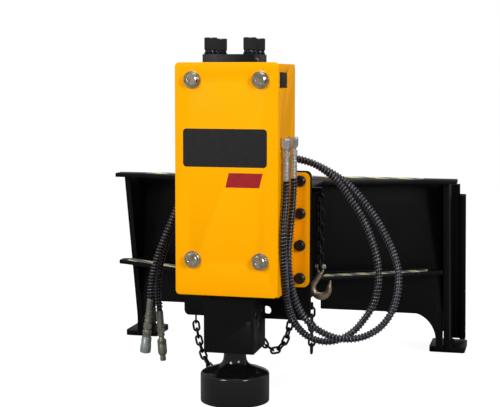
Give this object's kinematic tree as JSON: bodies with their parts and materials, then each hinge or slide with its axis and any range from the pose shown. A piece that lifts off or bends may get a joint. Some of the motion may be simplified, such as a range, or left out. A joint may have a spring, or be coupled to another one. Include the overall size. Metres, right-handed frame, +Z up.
{
  "type": "hydraulic post driver",
  "caption": "Hydraulic post driver with a boxed hammer and driving cup on a loader mounting frame, with chains, grab hook and hoses.",
  "frame": {"origin": "centre of the driving cup's mouth, on the floor and on the tool axis", "axes": "+Z up along the tool axis, -Y the front where the yellow plate faces, +Y back towards the loader, +X the hose side"},
  "size_m": [1.234, 1.0667, 1.059],
  "materials": {
    "black_paint": "satin",
    "black_fastener": "satin",
    "yellow_paint": "gloss",
    "machined_steel": "machined",
    "bushing_bronze": "satin",
    "seal_rubber": "satin",
    "yellow_zinc": "satin",
    "bright_zinc": "satin",
    "coupler_steel": "satin",
    "damper_rubber": "matte",
    "chain_steel": "satin",
    "hook_bronze": "satin",
    "hazard_tape": "rough",
    "hose_rubber": "satin"
  },
  "bodies": {
    "frame": {"front_head": "black_paint", "lower_bushing": "bushing_bronze", "upper_bushing": "bushing_bronze", "retaining_pins": "machined_steel", "pin_plugs": "black_fastener", "cylinder_block": "black_paint", "seal_retainer": "machined_steel", "piston_seals": "seal_rubber", "back_head": "black_paint", "charging_valve": "yellow_zinc", "tie_rods": "machined_steel", "tie_rod_nuts": "black_paint", "tie_rod_washers": "black_paint", "port_adapters": "bright_zinc", "port_elbows": "bright_zinc", "front_plate": "yellow_paint", "side_plate_left": "yellow_paint", "side_plate_right": "yellow_paint", "rear_plate": "yellow_paint", "bracket_plate": "yellow_paint", "dampers": "damper_rubber", "case_bolts": "yellow_zinc", "case_washers": "yellow_zinc", "mount_plate": "black_paint", "bracket_bolts": "black_fastener", "bracket_nuts": "black_fastener", "hose_clamp": "black_paint", "tower_side_left": "black_paint", "tower_side_right": "black_paint", "deck": "black_paint", "steps": "black_paint", "web_left": "black_paint", "web_right": "black_paint", "leg_left": "black_paint", "leg_right": "black_paint", "feet": "black_paint", "loader_plate": "black_paint", "side_bars": "black_paint", "hook_lip": "black_paint", "lock_lips": "black_paint", "grip_tape": "hazard_tape", "chain_lugs": "black_paint", "hose_supply": "hose_rubber", "hose_return": "hose_rubber", "swivel_nuts": "bright_zinc", "hose_ferrules": "bright_zinc", "coupler_socket": "coupler_steel", "coupler_plug": "coupler_steel"},
    "tool": {"drive_cup": "black_paint", "tool_shank": "machined_steel"},
    "piston": {"piston": "machined_steel"},
    "valve_spool": {"valve_spool": "machined_steel"},
    "hook_chain_upper": {"hook_chain_upper": "chain_steel"},
    "hook_chain_lower": {"hook_chain_lower": "chain_steel"},
    "hook": {"grab_hook": "hook_bronze", "clevis_pin": "bright_zinc"},
    "safety_chain_left": {"safety_chain_left": "chain_steel"},
    "safety_chain_right": {"safety_chain_right": "chain_steel"},
    "tail_chain": {"tail_chain": "chain_steel"},
    "coupler_sleeve": {"coupler_sleeve": "coupler_steel"}
  },
  "joints": [
    {"name": "tool_slide", "type": "slide", "parent": "frame", "child": "tool", "axis": [0, 0, 1], "range_m": [-0.04, 0]},
    {"name": "piston_slide", "type": "slide", "parent": "frame", "child": "piston", "axis": [0, 0, 1], "range_m": [0, 0.05]},
    {"name": "valve_slide", "type": "slide", "parent": "frame", "child": "valve_spool", "axis": [0, 0, 1], "range_m": [0, 0.012]},
    {"name": "hook_chain_top", "type": "hinge", "parent": "frame", "child": "hook_chain_upper", "pos_m": [0.205, 0.26, 0.5901], "axis": [1, 0, 0], "range_deg": [-5, 20]},
    {"name": "hook_chain_middle", "type": "hinge", "parent": "hook_chain_upper", "child": "hook_chain_lower", "pos_m": [0.205, 0.26, 0.4776], "axis": [1, 0, 0], "range_deg": [-5, 9]},
    {"name": "hook_pivot", "type": "hinge", "parent": "hook_chain_lower", "child": "hook", "pos_m": [0.205, 0.26, 0.3655], "axis": [1, 0, 0], "range_deg": [-6, 20]},
    {"name": "left_chain_swing", "type": "hinge", "parent": "frame", "child": "safety_chain_left", "pos_m": [-0.162, 0.146, 0.1905], "axis": [0.8912, -0.3173, -0.3242], "range_deg": [-4, 4]},
    {"name": "right_chain_swing", "type": "hinge", "parent": "frame", "child": "safety_chain_right", "pos_m": [0.05, 0.09, 0.1995], "axis": [0.8178, 0.5727, 0.0566], "range_deg": [-8, 8]},
    {"name": "tail_chain_swing", "type": "hinge", "parent": "frame", "child": "tail_chain", "pos_m": [0.196, 0.172, 0.2546], "axis": [1, 0, 0], "range_deg": [-3, 25]},
    {"name": "sleeve_slide", "type": "slide", "parent": "frame", "child": "coupler_sleeve", "axis": [0.1045, 0, 0.9945], "range_m": [0, 0.006], "stiffness_N_per_m": 400}
  ],
  "couplings": [
    {"joint": "valve_slide", "follows": "piston_slide", "ratio": 0.24}
  ]
}
